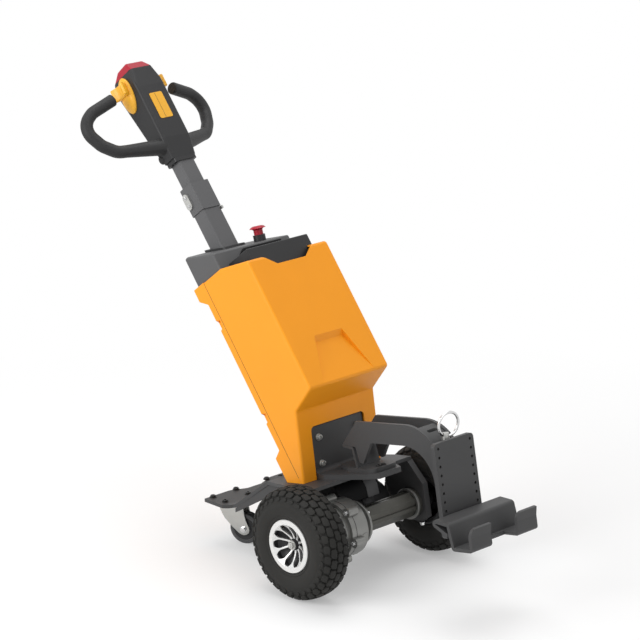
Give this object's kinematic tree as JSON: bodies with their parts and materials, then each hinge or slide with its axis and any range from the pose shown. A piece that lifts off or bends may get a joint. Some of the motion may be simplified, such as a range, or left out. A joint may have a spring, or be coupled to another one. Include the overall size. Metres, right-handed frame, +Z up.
{
  "type": "walk-behind electric tug",
  "caption": "Pedestrian tug with two driven wheels, rear casters, a leaning covered body, a telescopic mast with a looped control head, and a bolted tow hook.",
  "frame": {"origin": "on the floor, at the middle of the overall length and width", "axes": "+X forward to the hook, +Y to the left, +Z up"},
  "size_m": [1.2406, 0.508, 1.0714],
  "materials": {
    "orange_cover": "satin moulded",
    "dark_steel": "dark grey powder coat",
    "grey_plastic": "grained",
    "black_plastic": "grained",
    "tyre_rubber": "matt",
    "grey_rubber": "matt",
    "grip_rubber": "soft matt",
    "rim_alloy": "machined",
    "cast_alloy": "as cast",
    "zinc_steel": "zinc plated",
    "bright_steel": "polished",
    "mast_paint": "dark grey powder coat",
    "red_plastic": "gloss",
    "yellow_plastic": "satin",
    "block_grey": "plain"
  },
  "bodies": {
    "chassis": {"base_plate": "dark_steel", "right_bracket": "dark_steel", "left_bracket": "dark_steel", "axle_tube": "cast_alloy", "gearbox": "cast_alloy", "motor": "black_plastic", "right_caster_plate": "zinc_steel", "left_caster_plate": "zinc_steel", "mast_bracket": "dark_steel", "tow_flange": "dark_steel", "right_tow_arm": "dark_steel", "left_tow_arm": "dark_steel", "rise_plate": "dark_steel", "saddle": "dark_steel", "tow_plate": "dark_steel", "lock_pin": "zinc_steel", "pin_ring": "bright_steel", "hook": "dark_steel", "front_cover": "orange_cover", "rear_cover": "orange_cover", "battery_block": "block_grey", "inner_box": "black_plastic", "top_housing": "grey_plastic", "stop_collar": "black_plastic", "stop_button": "red_plastic", "base_socket": "black_plastic", "mast_column": "mast_paint", "mast_sleeve": "mast_paint", "clamp_plate": "zinc_steel"},
    "tiller": {"upper_mast": "mast_paint", "head_shell": "grey_plastic", "belly_button": "red_plastic", "head_collar": "black_plastic", "head_panel": "yellow_plastic", "right_thumb_lever": "yellow_plastic", "left_thumb_lever": "yellow_plastic", "right_handle": "grip_rubber", "left_handle": "grip_rubber"},
    "right_wheel": {"right_tyre": "tyre_rubber", "right_rim": "rim_alloy", "right_hub": "black_plastic"},
    "left_wheel": {"left_tyre": "tyre_rubber", "left_rim": "rim_alloy", "left_hub": "black_plastic"},
    "right_caster_swivel": {"right_caster_fork": "zinc_steel"},
    "left_caster_swivel": {"left_caster_fork": "zinc_steel"},
    "right_caster_wheel": {"right_caster_core": "block_grey", "right_caster_tyre": "grey_rubber"},
    "left_caster_wheel": {"left_caster_core": "block_grey", "left_caster_tyre": "grey_rubber"}
  },
  "joints": [
    {"name": "mast_slide", "type": "slide", "parent": "chassis", "child": "tiller", "axis": [-0.6293, 0, 0.7771], "range_m": [-0.05, 0.12]},
    {"name": "right_wheel_spin", "type": "hinge", "parent": "chassis", "child": "right_wheel", "pos_m": [0.1979, -0.212, 0.13], "axis": [0, 1, 0], "continuous": true},
    {"name": "right_caster_turn", "type": "hinge", "parent": "chassis", "child": "right_caster_swivel", "pos_m": [-0.1691, -0.086, 0.09], "axis": [0, 0, 1], "continuous": true},
    {"name": "right_caster_spin", "type": "hinge", "parent": "right_caster_swivel", "child": "right_caster_wheel", "pos_m": [-0.13228, -0.07037, 0.0375], "axis": [-0.3907, 0.9205, 0], "continuous": true},
    {"name": "left_wheel_spin", "type": "hinge", "parent": "chassis", "child": "left_wheel", "pos_m": [0.1979, 0.212, 0.13], "axis": [0, 1, 0], "continuous": true},
    {"name": "left_caster_turn", "type": "hinge", "parent": "chassis", "child": "left_caster_swivel", "pos_m": [-0.1691, 0.086, 0.09], "axis": [0, 0, 1], "continuous": true},
    {"name": "left_caster_spin", "type": "hinge", "parent": "left_caster_swivel", "child": "left_caster_wheel", "pos_m": [-0.13228, 0.10163, 0.0375], "axis": [-0.3907, 0.9205, 0], "continuous": true}
  ]
}
